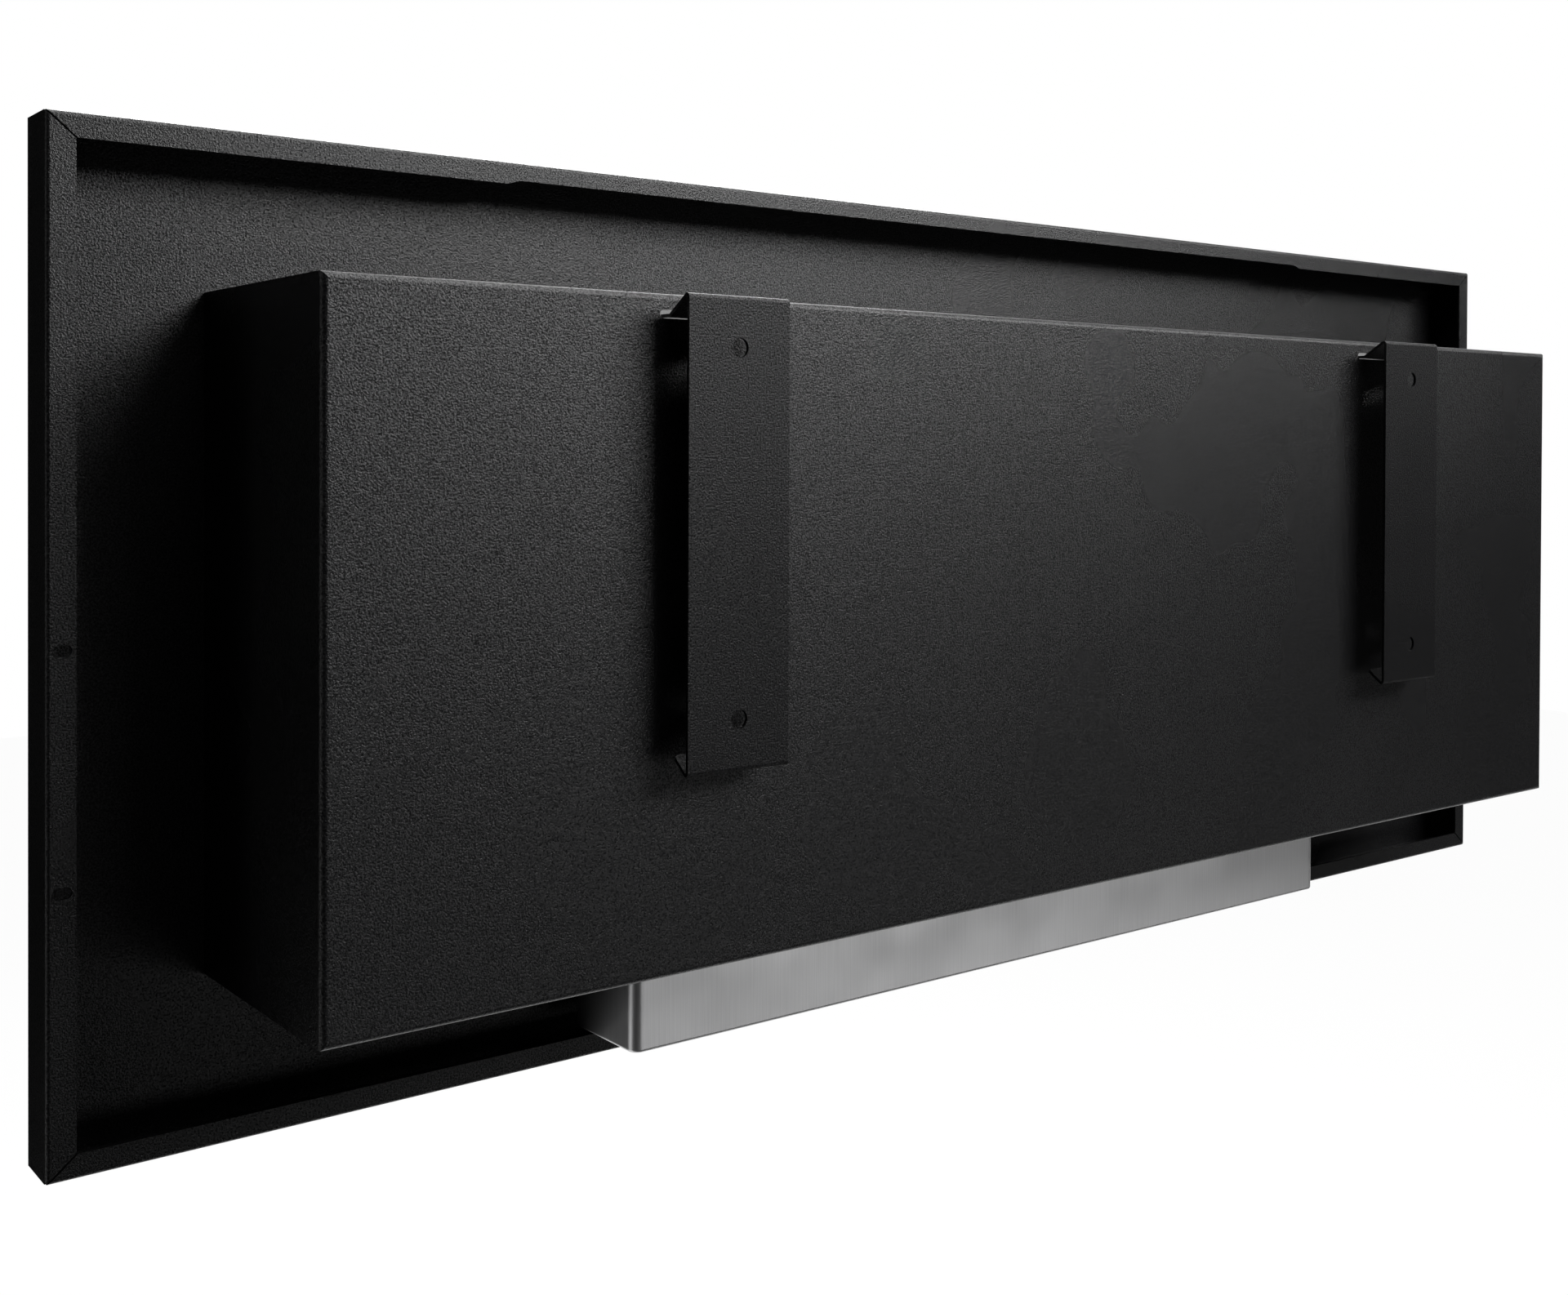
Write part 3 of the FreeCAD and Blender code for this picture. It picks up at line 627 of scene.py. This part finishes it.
def white_room(settings):
    """A white world; reflections see it white towards the front and dim towards the wall."""
    world = bpy.data.worlds.new("white_room")
    world.use_nodes = True
    tree = world.node_tree
    tree.nodes.clear()
    ray = tree.nodes.new("ShaderNodeLightPath")
    background = add_node(tree, "ShaderNodeBackground", Color=(1.0, 1.0, 1.0, 1.0))
    output = tree.nodes.new("ShaderNodeOutputWorld")
    facing = tree.nodes.new("ShaderNodeSeparateXYZ")
    tree.links.new(object_coordinates(tree), facing.inputs[0])
    around = remap(tree, facing.outputs["Y"], *WORLD_TURN, 1.0, settings.back_world)
    seen = calculate(tree, "MAXIMUM", ray.outputs["Is Camera Ray"],
                     ray.outputs["Is Transmission Ray"])
    for kind, level in (("Is Glossy Ray", around), ("Is Diffuse Ray", settings.diffuse_world)):
        seen = calculate(tree, "MAXIMUM", seen,
                         calculate(tree, "MULTIPLY", ray.outputs[kind], level))
    tree.links.new(seen, background.inputs["Strength"])
    tree.links.new(background.outputs[0], output.inputs["Surface"])
    bpy.context.scene.world = world


def stage_plane(name, corners, material):
    """A flat stage piece between four corners."""
    mesh = bpy.data.meshes.new(name)
    mesh.from_pydata(corners, [], [(0, 1, 2, 3)])
    mesh.materials.append(material)
    plane = bpy.data.objects.new(name, mesh)
    bpy.context.scene.collection.objects.link(plane)
    return plane


def pale_floor(level):
    """A white floor from the wall's plane to the front, which keeps a faint shadow."""
    material, tree, shader = new_material("pale_floor")
    shader.inputs["Base Color"].default_value = (0.8, 0.8, 0.8, 1.0)
    shader.inputs["Roughness"].default_value = 0.9
    output = next(item for item in tree.nodes if item.type == "OUTPUT_MATERIAL")
    ray = tree.nodes.new("ShaderNodeLightPath")
    glow = tree.nodes.new("ShaderNodeEmission")
    mix = tree.nodes.new("ShaderNodeMixShader")
    seen = ray.outputs["Is Camera Ray"]
    for kind in ("Is Glossy Ray", "Is Transmission Ray"):
        seen = calculate(tree, "MAXIMUM", seen, ray.outputs[kind])
    tree.links.new(calculate(tree, "MULTIPLY", seen, FLOOR_GLOW), mix.inputs["Fac"])
    tree.links.new(shader.outputs["BSDF"], mix.inputs[1])
    tree.links.new(glow.outputs["Emission"], mix.inputs[2])
    tree.links.new(mix.outputs["Shader"], output.inputs["Surface"])
    stage_plane("pale_floor", [(-FLOOR_REACH, -FLOOR_REACH, level),
                               (FLOOR_REACH, -FLOOR_REACH, level),
                               (FLOOR_REACH, 0.0, level), (-FLOOR_REACH, 0.0, level)], material)


def dark_flag():
    """A black card beside the set, hidden from the camera, that keeps the near rim dark."""
    material, tree, shader = new_material("dark_flag")
    shader.inputs["Base Color"].default_value = (0.01, 0.01, 0.01, 1.0)
    shader.inputs["Roughness"].default_value = 0.9
    shader.inputs["Specular IOR Level"].default_value = 0.0
    (left, right), (bottom, top) = FLAG_X, FLAG_Z
    flag = stage_plane("dark_flag", [(left, FLAG_Y, bottom), (right, FLAG_Y, bottom),
                                     (right, FLAG_Y, top), (left, FLAG_Y, top)], material)
    flag.visible_camera = False
    flag.visible_shadow = False


class FIREPLACE_OT_stage(bpy.types.Operator):
    """Set the camera, the softboxes, the white room, the floor and the flag"""
    bl_idname = "fireplace.stage"
    bl_label = "Stage"

    def execute(self, context):
        settings = context.scene.fireplace_stage
        scene = context.scene
        data = bpy.data.cameras.new("camera")
        data.sensor_width = SENSOR_WIDTH
        data.lens = settings.lens
        data.shift_x, data.shift_y = CAMERA_SHIFT
        data.clip_start = 0.01
        camera = bpy.data.objects.new("camera", data)
        scene.collection.objects.link(camera)
        camera.location = CAMERA_PLACE
        camera.rotation_euler = [math.radians(angle) for angle in CAMERA_TURN]
        scene.camera = camera
        scene.view_settings.view_transform = "Standard"
        centre = (cad_low + cad_high) / 2
        for name, place, width, height in SOFTBOXES:
            softbox(name, place, centre, width, height, getattr(settings, name + "_power"))
        white_room(settings)
        pale_floor(cad_low.z - FLOOR_DROP)
        dark_flag()
        return {"FINISHED"}


class FIREPLACE_PT_panel(bpy.types.Panel):
    """Lists the fireplace's operators"""
    bl_label = "Wall Fireplace"
    bl_space_type = "VIEW_3D"
    bl_region_type = "UI"
    bl_category = "Fireplace"

    def draw(self, context):
        for operator in OPERATORS:
            self.layout.operator(operator.bl_idname)


GROUPS = {"fireplace_coat": FIREPLACE_PG_coat, "fireplace_steel": FIREPLACE_PG_steel,
          "fireplace_wool": FIREPLACE_PG_wool, "fireplace_retainer": FIREPLACE_PG_retainer,
          "fireplace_stage": FIREPLACE_PG_stage}
OPERATORS = (FIREPLACE_OT_stage, FIREPLACE_OT_coat, FIREPLACE_OT_steel, FIREPLACE_OT_gasket,
             FIREPLACE_OT_wool, FIREPLACE_OT_retainer)


def register():
    for name, group in GROUPS.items():
        bpy.utils.register_class(group)
        setattr(bpy.types.Scene, name, PointerProperty(type=group))
    for operator in OPERATORS:
        bpy.utils.register_class(operator)
    bpy.utils.register_class(FIREPLACE_PT_panel)


def unregister():
    bpy.utils.unregister_class(FIREPLACE_PT_panel)
    for operator in reversed(OPERATORS):
        bpy.utils.unregister_class(operator)
    for name, group in GROUPS.items():
        delattr(bpy.types.Scene, name)
        bpy.utils.unregister_class(group)


def main():
    register()
    for operator in OPERATORS:
        area, name = operator.bl_idname.split(".")
        getattr(getattr(bpy.ops, area), name)()


if __name__ == "__main__":
    main()
